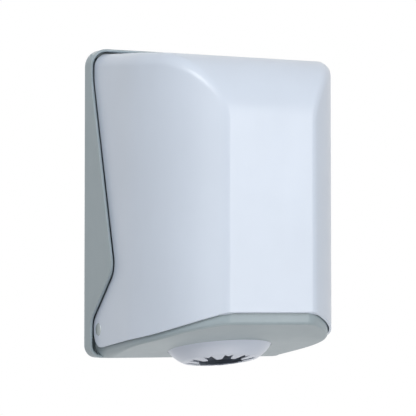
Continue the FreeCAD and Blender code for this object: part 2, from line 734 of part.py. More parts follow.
# ---- Hinge --------------------------------------------------------------------------------

def hinge_pin():
    """Right-hand pin: flat head in the cover's dimple and a plain shank through the ear."""
    head_in = COVER_HALF - PIN_HEAD_SINK
    tail = CLIP_INNER - PIN_TAIL
    head = rod_x(head_in, head_in + PIN_HEAD_WALL, PIN_HEAD_R, HINGE_DEPTH, HINGE_Z)
    rim = [edge for edge in head.Edges if middle_of(edge).x > head_in + PIN_HEAD_WALL - 1e-3]
    head = head.makeChamfer(PIN_HEAD_WALL / 3, rim)
    return joined([head, rod_x(tail, head_in, PIN_R, HINGE_DEPTH, HINGE_Z)])


def hinge_bush():
    flange = rod_x(EAR_OUTER, EAR_OUTER + BUSH_WALL, BUSH_FLANGE_R, HINGE_DEPTH, HINGE_Z)
    sleeve = rod_x(EAR_INNER, EAR_OUTER, BUSH_R, HINGE_DEPTH, HINGE_Z)
    bore = rod_x(EAR_INNER - 1, EAR_OUTER + BUSH_WALL + 1, BUSH_BORE_R, HINGE_DEPTH, HINGE_Z)
    return joined([flange, sleeve]).cut(bore)


def hinge_clip():
    """Push-on ring that grips the end of the pin, split on one side."""
    ring = rod_x(CLIP_INNER, CLIP_OUTER, CLIP_R, HINGE_DEPTH, HINGE_Z)
    bore = rod_x(CLIP_INNER - 1, CLIP_OUTER + 1, PIN_R, HINGE_DEPTH, HINGE_Z)
    slot = block(CLIP_INNER - 1, CLIP_OUTER + 1, HINGE_DEPTH, HINGE_DEPTH + 2 * CLIP_R,
                 HINGE_Z - CLIP_SLOT, HINGE_Z + CLIP_SLOT)
    return ring.cut(bore).cut(slot)


# ---- Lock ---------------------------------------------------------------------------------
# In the lock's own frame z = 0 is the cover's outer top face and the lock hangs below it.

def barrel_form(z0, z1):
    """Round barrel with two flats, which fits the hole in the cover."""
    flats = Part.makeBox(2 * LOCK_BARREL_FLAT, 4 * LOCK_BARREL_R, z1 - z0,
                         Vector(-LOCK_BARREL_FLAT, -2 * LOCK_BARREL_R, z0))
    return rod_up(LOCK_BARREL_R, z0, z1).common(flats)


def lock_housing():
    flange = rod_up(LOCK_FLANGE_R, 0, LOCK_FLANGE_WALL)
    rim = [edge for edge in flange.Edges if middle_of(edge).z > LOCK_FLANGE_WALL - 1e-3]
    flange = flange.makeChamfer(LOCK_FLANGE_WALL / 3, rim)
    bore = rod_up(PLUG_R + PIN_RUNNING_CLEAR, -LOCK_BARREL_LENGTH - 1, LOCK_FLANGE_WALL + 1)
    return lock_placed(joined([flange, barrel_form(-LOCK_BARREL_LENGTH, 0)]).cut(bore))


def lock_nut():
    top = -COVER_WALL - LOCK_BOSS_HEIGHT
    reach = LOCK_NUT_FLATS / 2 / math.cos(math.radians(30))
    corners = [(reach * math.cos(math.radians(60 * i)), reach * math.sin(math.radians(60 * i)), 0)
               for i in range(6)]
    hexagon = flat_prism(corners, top - LOCK_NUT_HEIGHT, top)
    chamfer = Part.makeCone(reach + 2.0, reach - 0.6, LOCK_NUT_HEIGHT, Vector(0, 0, top),
                            Vector(0, 0, -1))
    return lock_placed(hexagon.common(chamfer).cut(rod_up(LOCK_BARREL_R, top - CUT_MARGIN, top + 1)))


def lock_plug():
    cam_low = -LOCK_BARREL_LENGTH - CAM_GAP - CAM_WALL
    body = rod_up(PLUG_R, -LOCK_BARREL_LENGTH, LOCK_FLANGE_WALL - PLUG_SINK)
    drive = Part.makeBox(CAM_SQUARE, CAM_SQUARE, -LOCK_BARREL_LENGTH - cam_low,
                         Vector(-CAM_SQUARE / 2, -CAM_SQUARE / 2, cam_low))
    keyway = Part.makeBox(KEYWAY_WIDTH, KEYWAY_LENGTH, KEYWAY_DEPTH,
                          Vector(-KEYWAY_WIDTH / 2, -KEYWAY_LENGTH / 2,
                                 LOCK_FLANGE_WALL - PLUG_SINK - KEYWAY_DEPTH))
    thread = rod_up(CAM_SCREW_R, cam_low - 1, cam_low + CAM_SCREW_GRIP)
    return lock_placed(joined([body, drive]).cut(keyway).cut(thread))


def lock_cam():
    """Cam bar that points to the wall when unlocked."""
    high = -LOCK_BARREL_LENGTH - CAM_GAP
    low = high - CAM_WALL
    half = CAM_WIDTH / 2
    bar = flat_prism([(-half, 0, 0), (half, 0, 0), (half, CAM_REACH, half * 0.8),
                      (-half, CAM_REACH, half * 0.8)], low, high)
    square = Part.makeBox(CAM_SQUARE, CAM_SQUARE, CAM_WALL, Vector(-CAM_SQUARE / 2, -CAM_SQUARE / 2, low))
    return lock_placed(joined([rod_up(CAM_HUB_R, low, high), bar]).cut(square))


def cam_washer():
    high = -LOCK_BARREL_LENGTH - CAM_GAP - CAM_WALL
    ring = rod_up(WASHER_R, high - WASHER_WALL, high)
    return lock_placed(ring.cut(rod_up(CAM_SCREW_R, high - CUT_MARGIN, high + 1)))


def cam_screw():
    seat = -LOCK_BARREL_LENGTH - CAM_GAP - CAM_WALL - WASHER_WALL
    head = rod_up(CAM_SCREW_HEAD_R, seat - CAM_SCREW_HEAD_HEIGHT, seat)
    shank = rod_up(CAM_SCREW_R, seat, seat + WASHER_WALL + CAM_SCREW_GRIP)
    return lock_placed(joined([head, shank]))


def keeper_flange_top():
    """Height at which the keeper's arm meets the back plate."""
    arm = -LOCK_BARREL_LENGTH - CAM_GAP + KEEPER_CAM_GAP + KEEPER_WALL
    return cover_top(LOCK_DEPTH) + arm + (LOCK_DEPTH - PLATE_WALL) * math.sin(math.radians(TOP_SLOPE))


def lock_keeper():
    """Bent steel strap: a flange on the plate, an arm over the cam and a lip in front of it."""
    low = -LOCK_BARREL_LENGTH - CAM_GAP + KEEPER_CAM_GAP
    lip_back = -CAM_WIDTH / 2 - KEEPER_CAM_GAP
    lip_front = lip_back - KEEPER_WALL
    x0 = -KEEPER_OFFSET - KEEPER_WIDTH / 2
    reach = LOCK_DEPTH - PLATE_WALL - KEEPER_WALL / 2
    arm = Part.makeBox(KEEPER_WIDTH, reach - lip_front, KEEPER_WALL, Vector(x0, lip_front, low))
    lip = Part.makeBox(KEEPER_WIDTH, KEEPER_WALL, KEEPER_LIP + KEEPER_WALL,
                       Vector(x0, lip_front, low - KEEPER_LIP))
    top = keeper_flange_top()
    half = KEEPER_FLANGE_WIDTH / 2
    flange = front_prism([(-KEEPER_OFFSET - half, top - KEEPER_FLANGE_HEIGHT, 3.0),
                          (-KEEPER_OFFSET + half, top - KEEPER_FLANGE_HEIGHT, 3.0),
                          (-KEEPER_OFFSET + half, top, 3.0),
                          (-KEEPER_OFFSET - half, top, 3.0)], PLATE_WALL, PLATE_WALL + KEEPER_WALL)
    bent = lock_placed(joined([arm, lip])).cut(block(-PLATE_HALF, PLATE_HALF, -1, PLATE_WALL, 0, TOP_Z))
    strap = joined([bent, flange])
    for x, z in keeper_screw_places():
        strap = strap.cut(rod_out(x, z, SCREW_R, 0, PLATE_WALL + 2 * KEEPER_WALL))
    return strap


# ---- Small pieces -------------------------------------------------------------------------

def tray_screws():
    seat = TRAY_REAR + TRAY_FLANGE_WALL
    return Part.makeCompound([screw_out(x, seat, z, SCREW_GRIP) for x, z in tray_screw_places()])


def keeper_screws():
    seat = PLATE_WALL + KEEPER_WALL
    return Part.makeCompound([screw_out(x, seat, z, seat) for x, z in keeper_screw_places()])


def stop_buffers():
    """Rubber studs on the plate that the closed cover's top edge comes to rest near."""
    z = COVER_TOP_Z - BUFFER_R
    end = COVER_REAR - BUFFER_GAP
    return Part.makeCompound([rod_out(side * BUFFER_SPACING / 2, z, BUFFER_R, PLATE_WALL, end)
                              for side in (-1, 1)])


def write(name, shape):
    shape.exportStep(os.path.join("parts", name + ".step"))


def main():
    os.makedirs("parts", exist_ok=True)
    write("back_plate", back_plate())
    write("bottom_tray", bottom_tray())
    write("cover", cover())
    write("nozzle", nozzle())
    for name, make in (("hinge_pin", hinge_pin), ("hinge_bush", hinge_bush),
                       ("hinge_clip", hinge_clip)):
        right = make()
        write(name + "_right", right)
        write(name + "_left", mirrored(right))
    write("lock_housing", lock_housing())
    write("lock_nut", lock_nut())
    write("lock_plug", lock_plug())
    write("lock_cam", lock_cam())
    write("cam_washer", cam_washer())
    write("cam_screw", cam_screw())
    write("lock_keeper", lock_keeper())
    write("keeper_screws", keeper_screws())
    write("tray_screws", tray_screws())
    write("stop_buffers", stop_buffers())


main()
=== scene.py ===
import json
import math

import bmesh
import bpy
from bpy.props import FloatProperty, FloatVectorProperty, IntProperty, PointerProperty
from mathutils import Matrix, Vector

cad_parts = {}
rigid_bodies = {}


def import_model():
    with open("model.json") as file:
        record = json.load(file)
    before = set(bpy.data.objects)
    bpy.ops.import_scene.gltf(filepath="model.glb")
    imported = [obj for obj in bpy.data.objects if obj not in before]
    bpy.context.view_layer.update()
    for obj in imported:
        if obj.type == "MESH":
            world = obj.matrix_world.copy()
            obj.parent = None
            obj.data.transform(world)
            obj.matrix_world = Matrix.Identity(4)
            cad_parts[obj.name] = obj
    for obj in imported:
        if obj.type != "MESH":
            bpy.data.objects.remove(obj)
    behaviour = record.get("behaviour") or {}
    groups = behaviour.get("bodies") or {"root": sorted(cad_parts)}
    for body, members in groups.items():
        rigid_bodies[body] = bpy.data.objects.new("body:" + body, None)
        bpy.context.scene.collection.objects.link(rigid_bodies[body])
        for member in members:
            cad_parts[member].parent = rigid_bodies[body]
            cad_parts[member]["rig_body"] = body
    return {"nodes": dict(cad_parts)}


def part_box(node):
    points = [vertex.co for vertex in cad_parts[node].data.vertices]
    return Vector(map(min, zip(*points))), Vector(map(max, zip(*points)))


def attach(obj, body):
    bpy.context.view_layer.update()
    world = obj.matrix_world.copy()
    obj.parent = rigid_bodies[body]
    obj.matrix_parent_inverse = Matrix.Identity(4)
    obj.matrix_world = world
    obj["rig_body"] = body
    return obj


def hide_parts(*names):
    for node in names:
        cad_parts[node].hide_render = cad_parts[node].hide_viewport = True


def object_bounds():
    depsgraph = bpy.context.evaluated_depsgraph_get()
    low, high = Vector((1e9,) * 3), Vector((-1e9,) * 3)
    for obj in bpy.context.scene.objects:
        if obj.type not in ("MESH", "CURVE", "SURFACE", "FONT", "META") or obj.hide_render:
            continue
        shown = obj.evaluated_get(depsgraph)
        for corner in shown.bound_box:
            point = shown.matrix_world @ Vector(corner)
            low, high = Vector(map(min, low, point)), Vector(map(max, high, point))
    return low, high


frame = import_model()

bl_info = {
    "name": "Centre-Feed Paper Dispenser",
    "version": (1, 0, 0),
    "blender": (4, 5, 0),
    "location": "3D View > Sidebar > Dispenser",
    "description": "Dresses the pieces of a wall-mounted centre-feed paper dispenser",
    "category": "Object",
}

NODES = frame["nodes"]
CAD_LOW, CAD_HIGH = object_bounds()

# How the CAD meshes are cleaned, rounded and shaded
SAME_POINT = 2e-6
SAME_PLANE = math.radians(0.4)
SHARP_EDGE = math.radians(28.0)
SHARP_SCREW_EDGE = math.radians(35.0)
FLAT_FACE_WEIGHT = 80

# Nearly all values of a noise texture lie between these two
NOISE_LOW = 0.3
NOISE_HIGH = 0.7

# Pan screws. The head's profile goes outwards from its flat top, which is HEAD_TOP of its radius.
# Each step is a share of its radius to reach and a share of its height to go down.
HEAD_TOP = 0.62
HEAD_STEPS = ((0.86, 0.09), (0.96, 0.16), (1.0, 0.25), (1.0, 0.50))
HEAD_SEGMENTS = 24
RECESS_TAPER = 0.62
TIP_SHARE = 0.12
TIP_TAPER = 0.72
FIRST_TURN = 0.4
TURN_STEP = 1.3

# Background, floor and lamps; a lamp has a place, a width, a height and a tint
WHITE = (1.0, 1.0, 1.0)
WORLD_TINT = (0.975, 0.990, 1.0)
FLOOR_TONES = ((0.90, 0.905, 0.91), (0.93, 0.93, 0.93))
FLOOR_GLOW = 0.8
SENSOR_WIDTH = 36.0
LAMPS = {
    "key": ((-1.60, -1.80, 1.50), 1.3, 1.3, WHITE),
    "sheen": ((1.00, -2.40, 0.20), 0.8, 1.8, WHITE),
    "bounce": ((0.10, -0.10, -1.80), 1.6, 1.6, (1.0, 0.945, 0.925)),
    "fill": ((-2.00, -1.90, 0.20), 1.3, 1.3, WHITE),
    "back": ((0.40, 2.60, 0.50), 1.2, 1.2, WHITE),
}


# ---- Settings ------------------------------------------------------------------------------

def colour(name, description, default):
    return FloatVectorProperty(name=name, description=description, default=default,
                               subtype="COLOR", size=3, min=0.0, max=1.0)


def length(name, description, default):
    return FloatProperty(name=name, description=description, default=default,
                         unit="LENGTH", min=0.0, precision=5)


def point(name, description, default):
    return FloatVectorProperty(name=name, description=description, default=default,
                               subtype="XYZ", unit="LENGTH")


def degrees(name, description, default):
    return FloatProperty(name=name, description=description, default=math.radians(default),
                         unit="ROTATION")


def watts(name, description, default):
    return FloatProperty(name=name, description=description, default=default, unit="POWER")


class DispenserPlastics(bpy.types.PropertyGroup):
    """Colours and surface of the moulded pieces"""
    cover_white: colour("Cover", "Colour of the white cover", (0.738, 0.816, 0.935))
    nozzle_white: colour("Nozzle", "Colour of the white nozzle", (0.690, 0.750, 0.862))
    case_grey: colour("Plate and tray", "Colour of the grey plate and tray",
                      (0.372, 0.448, 0.484))
    bush_grey: colour("Bushes", "Colour of the hinge bushes", (0.560, 0.565, 0.545))
    rubber_black: colour("Buffers", "Colour of the rubber buffers", (0.026, 0.027, 0.028))
    grain: length("Grain", "Distance between the grains of the moulded surface", 0.0009)
    grain_depth: length("Grain depth", "Height of the moulded grain", 0.000010)
    gloss: FloatProperty(name="Roughness", description="Roughness of the cover's surface",
                         default=0.30, min=0.0, max=1.0, subtype="FACTOR")


class DispenserMetals(bpy.types.PropertyGroup):
    """Colours of the metal pieces"""
    pin_steel: colour("Pins", "Colour of the hinge pins", (0.440, 0.485, 0.495))
    lock_chrome: colour("Lock", "Colour of the plated lock", (0.740, 0.750, 0.770))
    zinc: colour("Zinc", "Colour of the zinc-plated strap, cam and screws",
                 (0.600, 0.620, 0.640))
    spring_steel: colour("Clips", "Colour of the spring-steel clips", (0.310, 0.320, 0.335))


class DispenserEdges(bpy.types.PropertyGroup):
    """How far the edges of each piece are rounded"""
    shell: length("Shells", "Rounding of the cover, the plate and the tray", 0.0003)
    nozzle: length("Nozzle", "Rounding of the nozzle's edges", 0.0004)
    hardware: length("Hardware", "Rounding of the lock, the cam and the strap", 0.00022)
    buffer: length("Buffers", "Rounding of the rubber buffers' ends", 0.0012)
    steps: IntProperty(name="Steps", description="Faces across a rounded edge",
                       default=2, min=1, max=6)


class DispenserScrews(bpy.types.PropertyGroup):
    """Sizes of the small screws"""
    head_radius: length("Head radius", "Radius of a pan head", 0.0038)
    head_height: length("Head height", "Height of a pan head", 0.0024)
    shank_radius: length("Shank radius", "Radius of a shank", 0.0020)
    recess_reach: length("Recess", "Half the width of the cross recess", 0.0019)
    recess_depth: length("Recess depth", "Depth of the cross recess", 0.0014)
    tray_outer: length("Outer tray screws",
                       "Distance of the outer tray screws from the middle", 0.0875)
    tray_inner: length("Inner tray screws",
                       "Distance of the inner tray screws from the middle", 0.0350)
    keeper_middle: FloatProperty(name="Keeper place", default=-0.0180, unit="LENGTH",
                                 description="Middle of the keeper's two screws")
    keeper_apart: length("Keeper screws", "Distance between the keeper's two screws", 0.0240)
    lock_place: point("Lock", "Where the lock's axis meets the cover's top",
                      (0.0, -0.0380, 0.16740))
    lock_tilt: degrees("Lock tilt", "How far the lock leans with the cover's top", 5.0)
    cam_seat: length("Cam screw seat",
                     "How far the cam screw's head sits below the cover's top", 0.0234)
    cam_radius: length("Cam screw radius", "Radius of the cam screw's head", 0.0040)
    cam_height: length("Cam screw height", "Height of the cam screw's head", 0.0026)
    cam_grip: length("Cam screw grip", "Length of the cam screw's shank", 0.0080)


class DispenserStudio(bpy.types.PropertyGroup):
    """Camera, lights and floor"""
    camera_place: point("Camera", "Place of the camera", (-1.1002, -2.2355, -0.1178))
    camera_turn: degrees("Camera turn", "How far the camera looks to the right", 26.86)
    camera_rise: degrees("Camera rise", "How far the camera looks up", 2.641)
    camera_lens: FloatProperty(name="Lens", description="Focal length in millimetres",
                               default=185.88)
    floor_drop: length("Floor", "How far the floor lies below the dispenser", 2.7)
    floor_width: length("Floor width", "Width of the floor", 12.0)
    ambient: FloatProperty(name="Ambient", description="Strength of the light from all round",
                           default=0.24)
    key_power: watts("Key lamp", "Power of the lamp above on the left", 33.3)
    sheen_power: watts("Sheen lamp", "Power of the tall lamp that the front reflects", 21.0)
    bounce_power: watts("Bounce lamp", "Power of the lamp that lights the underside", 8.4)
    fill_power: watts("Fill lamp", "Power of the weak lamp on the left", 4.8)
    back_power: watts("Back lamp", "Power of the lamp behind", 11.0)


# ---- Surface finishes ----------------------------------------------------------------------

class Finish:
    """A node material that grows from a Principled shader."""

    def __init__(self, name):
        self.material = bpy.data.materials.new(name)
        self.material.use_nodes = True
        self.tree = self.material.node_tree
        self.tree.nodes.clear()
        self.output = self.tree.nodes.new("ShaderNodeOutputMaterial")
        self.shader = self.tree.nodes.new("ShaderNodeBsdfPrincipled")
        self.tree.links.new(self.shader.outputs["BSDF"], self.output.inputs["Surface"])
        self.place = self.add("ShaderNodeTexCoord").outputs["Object"]

    def add(self, kind, **settings):
        node = self.tree.nodes.new(kind)
        for key, value in settings.items():
            setattr(node, key, value)
        return node

    def join(self, out, into):
        self.tree.links.new(out, into)

    def coloured(self, out):
        self.join(out, self.shader.inputs["Base Color"])

    def roughened(self, out):
        self.join(out, self.shader.inputs["Roughness"])

    def stretched(self, scale):
        mapping = self.add("ShaderNodeMapping")
        mapping.inputs["Scale"].default_value = scale
        self.join(self.place, mapping.inputs["Vector"])
        return mapping.outputs["Vector"]

    def noise(self, scale, detail=2.0, roughness=0.5, place=None):
        node = self.add("ShaderNodeTexNoise")
        node.inputs["Scale"].default_value = scale
        node.inputs["Detail"].default_value = detail
        node.inputs["Roughness"].default_value = roughness
        self.join(place or self.place, node.inputs["Vector"])
        return node.outputs["Fac"]

    def cells(self, scale):
        node = self.add("ShaderNodeTexVoronoi", feature="SMOOTH_F1")
        node.inputs["Scale"].default_value = scale
        node.inputs["Smoothness"].default_value = 0.6
        self.join(self.place, node.inputs["Vector"])
        return node.outputs["Distance"]

    def ranged(self, value, low, high, from_low=NOISE_LOW, from_high=NOISE_HIGH):
        node = self.add("ShaderNodeMapRange")
        node.inputs["From Min"].default_value = from_low
        node.inputs["From Max"].default_value = from_high
        node.inputs["To Min"].default_value = low
        node.inputs["To Max"].default_value = high
        self.join(value, node.inputs["Value"])
        return node.outputs["Result"]

    def scaled(self, value, share):
        """A value from 0 to 1, scaled to go from 0 to a share."""
        return self.ranged(value, 0.0, share, from_low=0.0, from_high=1.0)

    def sum(self, first, second, kind="ADD"):
        node = self.add("ShaderNodeMath", operation=kind)
        self.join(first, node.inputs[0])
        self.join(second, node.inputs[1])
        return node.outputs["Value"]

    def blended(self, amount, first, second):
        """Mix of two colours; each is a colour or a node's output."""
        node = self.add("ShaderNodeMix", data_type="RGBA")
        self.join(amount, node.inputs["Factor"])
        for side, value in (("A", first), ("B", second)):
            socket = [s for s in node.inputs if s.name == side and s.type == "RGBA"][0]
            if isinstance(value, bpy.types.NodeSocket):
                self.join(value, socket)
            else:
                socket.default_value = (*value, 1.0)
        return [s for s in node.outputs if s.type == "RGBA"][0]

    def edges(self, radius):
        """Nearly 1 on sharp edges and 0 on flat places."""
        bevel = self.add("ShaderNodeBevel", samples=4)
        bevel.inputs["Radius"].default_value = radius
        dot = self.add("ShaderNodeVectorMath", operation="DOT_PRODUCT")
        self.join(bevel.outputs["Normal"], dot.inputs[0])
        self.join(self.add("ShaderNodeNewGeometry").outputs["Normal"], dot.inputs[1])
        return self.ranged(dot.outputs["Value"], 1.0, 0.0, from_low=0.86, from_high=0.995)

    def bumped(self, height, distance, strength):
        bump = self.add("ShaderNodeBump")
        bump.inputs["Strength"].default_value = strength
        bump.inputs["Distance"].default_value = distance
        self.join(height, bump.inputs["Height"])
        self.join(bump.outputs["Normal"], self.shader.inputs["Normal"])


def shifted(value, share):
    """A colour made darker or lighter."""
    return tuple(min(1.0, max(0.0, v * share)) for v in value)


def moulded_plastic(name, base, gloss, grain=1.0, edge_highlight=0.35, deep=0.955):
    """Injection-moulded plastic: fine grain, faint flow clouds, edges rubbed smooth, and a
    painted highlight that lightens the edges.
    """
    look = bpy.context.scene.dispenser_plastics
    spacing = look.grain * grain
    finish = Finish(name)
    clouds = finish.noise(scale=9.0, detail=3.0)
    flow = finish.noise(scale=26.0, detail=4.0, roughness=0.6,
                        place=finish.stretched((1.0, 1.0, 0.25)))
    cloudy = finish.blended(finish.ranged(clouds, 0.0, 1.0), shifted(base, deep), base)
    streaks = finish.ranged(flow, 0.0, 0.30, from_low=0.45, from_high=0.75)
    flowing = finish.blended(streaks, cloudy, shifted(base, 1.03))
    # Patches on the edges, where the surface is rubbed smoother and its colour is lightened as a
    # painted highlight
    patchiness = finish.ranged(finish.noise(scale=140.0), 0.3, 1.0)
    edge_wear_and_highlight = finish.sum(finish.edges(radius=0.0009), patchiness, "MULTIPLY")
    faint = finish.scaled(edge_wear_and_highlight, edge_highlight)
    # Painted highlight: in patches, the edges' colour goes towards 1.12 of the base
    finish.coloured(finish.blended(faint, flowing, shifted(base, 1.12)))
    dull = finish.ranged(finish.noise(scale=55.0, detail=3.0), gloss - 0.015, gloss + 0.045)
    finish.roughened(finish.sum(dull, finish.scaled(edge_wear_and_highlight, 0.05), "SUBTRACT"))
    cells = finish.cells(1.0 / spacing)
    fine = finish.noise(scale=2.2 / spacing)
    finish.bumped(finish.sum(cells, fine), look.grain_depth, strength=0.55)
    finish.shader.inputs["IOR"].default_value = 1.50
    return finish.material


def rubber(name, base):
    """Matt rubber with a fine tooth."""
    finish = Finish(name)
    clouds = finish.ranged(finish.noise(scale=160.0, detail=4.0), 0.0, 1.0)
    finish.coloured(finish.blended(clouds, base, shifted(base, 1.9)))
    finish.roughened(finish.ranged(finish.noise(scale=700.0, detail=3.0), 0.72, 0.92))
    finish.bumped(finish.noise(scale=2600.0, detail=3.0), 0.00004, strength=0.7)
    finish.shader.inputs["IOR"].default_value = 1.45
    return finish.material


def plated_metal(name, base, low, high, tint, spangle=420.0):
    """Plated or tempered metal: small crystals of slightly different tint and gloss."""
    finish = Finish(name)
    crystals = finish.ranged(finish.cells(spangle), 0.0, 1.0, from_low=0.1, from_high=0.8)
    finish.coloured(finish.blended(crystals, base, tint))
    finish.roughened(finish.ranged(finish.noise(scale=900.0, detail=3.0), low, high))
    finish.bumped(finish.noise(scale=1800.0, detail=4.0), 0.00001, strength=0.5)
    finish.shader.inputs["Metallic"].default_value = 1.0
    return finish.material


def drawn_metal(name, base, gloss, axis):
    """Drawn metal: fine lines along an axis, which an end face shows as a fine grain."""
    finish = Finish(name)
    scale = tuple(60.0 if axis == i else 1400.0 for i in range(3))
    lines = finish.noise(scale=1.0, detail=5.0, roughness=0.65, place=finish.stretched(scale))
    finish.coloured(finish.blended(finish.ranged(lines, 0.0, 1.0), shifted(base, 0.86),
                                   shifted(base, 1.08)))
    finish.roughened(finish.ranged(lines, gloss - 0.06, gloss + 0.08))
    finish.bumped(lines, 0.000006, strength=0.6)
    finish.shader.inputs["Metallic"].default_value = 1.0
    return finish.material


def finish_named(name):
    """The material of that name, made when it is first asked for."""
    known = bpy.data.materials.get(name)
    if known:
        return known
    plastics = bpy.context.scene.dispenser_plastics
    metals = bpy.context.scene.dispenser_metals
    makers = {
        "white_cover": lambda: moulded_plastic(name, plastics.cover_white, plastics.gloss),
        "white_nozzle": lambda: moulded_plastic(name, plastics.nozzle_white, 0.30, grain=0.8),
        "grey_case": lambda: moulded_plastic(name, plastics.case_grey, 0.37, grain=1.2,
                                             edge_highlight=0.45, deep=0.94),
        "bush_grey": lambda: moulded_plastic(name, plastics.bush_grey, 0.32, grain=0.6,
                                             edge_highlight=0.2),
        "rubber_black": lambda: rubber(name, plastics.rubber_black),
        "steel_pin": lambda: drawn_metal(name, metals.pin_steel, 0.42, axis=0),
        "chromed_lock": lambda: drawn_metal(name, metals.lock_chrome, 0.20, axis=2),
        "zinc_plate": lambda: plated_metal(name, metals.zinc, 0.24, 0.42,
                                           tint=(0.640, 0.625, 0.560)),
        "screw_zinc": lambda: plated_metal(name, metals.zinc, 0.20, 0.36,
                                           tint=(0.520, 0.560, 0.640), spangle=700.0),
        "steel_clip": lambda: plated_metal(name, metals.spring_steel, 0.28, 0.45,
                                           tint=(0.240, 0.250, 0.290)),
    }
    return makers[name]()


# ---- Mesh helpers --------------------------------------------------------------------------

def finished_piece(name, bm, finish, body):
    """Object at the origin with its place in its mesh, smooth, dressed and riding on its body."""
    bmesh.ops.recalc_face_normals(bm, faces=bm.faces)
    mesh = bpy.data.meshes.new(name)
    bm.to_mesh(mesh)
    bm.free()
    mesh.shade_smooth()
    mesh.materials.append(finish_named(finish))
    piece = bpy.data.objects.new(name, mesh)
    bpy.context.scene.collection.objects.link(piece)
    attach(piece, body)
    return piece


def eased(piece, width, segments):
    """Round the sharp edges and keep the large faces flat in the shading."""
    bevel = piece.modifiers.new("Eased edges", "BEVEL")
    bevel.width = width
    bevel.segments = segments
    bevel.limit_method = "ANGLE"
    bevel.angle_limit = SHARP_EDGE
    bevel.miter_outer = "MITER_ARC"
    weighted = piece.modifiers.new("Flat faces", "WEIGHTED_NORMAL")
    weighted.keep_sharp = True
    weighted.weight = FLAT_FACE_WEIGHT


def softened(node, finish, width):
    """Copy of a CAD node with rounded edges, which stands for it."""
    edges = bpy.context.scene.dispenser_edges
    bm = bmesh.new()
    bm.from_mesh(NODES[node].data)
    bmesh.ops.remove_doubles(bm, verts=bm.verts, dist=SAME_POINT)
    bmesh.ops.dissolve_limit(bm, angle_limit=SAME_PLANE, verts=bm.verts, edges=bm.edges)
    piece = finished_piece(node + "_piece", bm, finish, NODES[node]["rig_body"])
    eased(piece, width, edges.steps)
    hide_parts(node)
    return piece


def grown(bm, rim, scale, rise):
    """Extrude a loop of edges, then scale it about the Z axis and lift it."""
    made = bmesh.ops.extrude_edge_only(bm, edges=rim)["geom"]
    verts = [item for item in made if isinstance(item, bmesh.types.BMVert)]
    bmesh.ops.scale(bm, verts=verts, vec=(scale, scale, 1.0))
    bmesh.ops.translate(bm, verts=verts, vec=(0.0, 0.0, rise))
    inside = set(verts)
    touching = dict.fromkeys(edge for vert in verts for edge in vert.link_edges)
    return [edge for edge in touching if edge.verts[0] in inside and edge.verts[1] in inside]


def pan_screw(bm, place, turn, radius, height, grip):
    """Pan-head screw with a cross recess, its seat at z = 0 in its own frame."""
    sizes = bpy.context.scene.dispenser_screws
    screw = bmesh.new()
    bmesh.ops.create_grid(screw, x_segments=3, y_segments=3, size=sizes.recess_reach)
    middles = ((face, face.calc_center_median()) for face in screw.faces)
    corners = [face for face, middle in middles if min(abs(middle.x), abs(middle.y)) > SAME_POINT]
    bmesh.ops.delete(screw, geom=corners, context="FACES")
    bmesh.ops.translate(screw, verts=screw.verts, vec=(0.0, 0.0, height))
    cross = [edge for edge in screw.edges if edge.is_boundary]
    floor = bmesh.ops.extrude_face_region(screw, geom=list(screw.faces))["geom"]
    low = [item for item in floor if isinstance(item, bmesh.types.BMVert)]
    bmesh.ops.scale(screw, verts=low, vec=(RECESS_TAPER, RECESS_TAPER, 1.0))
    bmesh.ops.translate(screw, verts=low, vec=(0.0, 0.0, -sizes.recess_depth))
    flat = bmesh.ops.create_circle(screw, segments=HEAD_SEGMENTS, radius=HEAD_TOP * radius,
                                   matrix=Matrix.Translation((0.0, 0.0, height)))["verts"]
    rim = [edge for edge in screw.edges if edge.verts[0] in flat and edge.verts[1] in flat]
    bmesh.ops.bridge_loops(screw, edges=cross + rim)
    share = HEAD_TOP
    for reach, drop in (*HEAD_STEPS, (sizes.shank_radius / radius, 0.0)):
        rim = grown(screw, rim, reach / share, -drop * height)
        share = reach
    rim = grown(screw, rim, 1.0, -grip * (1.0 - TIP_SHARE))
    rim = grown(screw, rim, TIP_TAPER, -grip * TIP_SHARE)
    bmesh.ops.contextual_create(screw, geom=rim)
    bmesh.ops.transform(screw, matrix=Matrix.Translation(place) @ turn, verts=screw.verts)
    bmesh.ops.recalc_face_normals(screw, faces=screw.faces)
    mesh = bpy.data.meshes.new("screw")
    screw.to_mesh(mesh)
    screw.free()
    bm.from_mesh(mesh)
    bpy.data.meshes.remove(mesh)


def finished_screws(node, bm):
    """Screws that are in a mesh, as the piece that stands for their CAD node."""
    piece = finished_piece(node + "_piece", bm, "screw_zinc", NODES[node]["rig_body"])
    piece.data.set_sharp_from_angle(angle=SHARP_SCREW_EDGE)
    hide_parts(node)


# ---- Operators -----------------------------------------------------------------------------

class DISPENSER_OT_back_plate(bpy.types.Operator):
    """Grey plate on the wall, with its rim, wings, ribs and ears"""
    bl_idname = "dispenser.back_plate"
    bl_label = "Back Plate"

    def execute(self, context):
        softened("back_plate", "grey_case", context.scene.dispenser_edges.shell)
        return {"FINISHED"}


class DISPENSER_OT_bottom_tray(bpy.types.Operator):
    """Grey tray that closes the case below"""
    bl_idname = "dispenser.bottom_tray"
    bl_label = "Bottom Tray"

    def execute(self, context):
        softened("bottom_tray", "grey_case", context.scene.dispenser_edges.shell)
        return {"FINISHED"}


class DISPENSER_OT_cover(bpy.types.Operator):
    """White cover that swings down"""
    bl_idname = "dispenser.cover"
    bl_label = "Cover"

    def execute(self, context):
        softened("cover", "white_cover", context.scene.dispenser_edges.shell)
        return {"FINISHED"}


class DISPENSER_OT_nozzle(bpy.types.Operator):
    """White bayonet nozzle with the star opening"""
    bl_idname = "dispenser.nozzle"
    bl_label = "Nozzle"

    def execute(self, context):
        softened("nozzle", "white_nozzle", context.scene.dispenser_edges.nozzle)
        return {"FINISHED"}


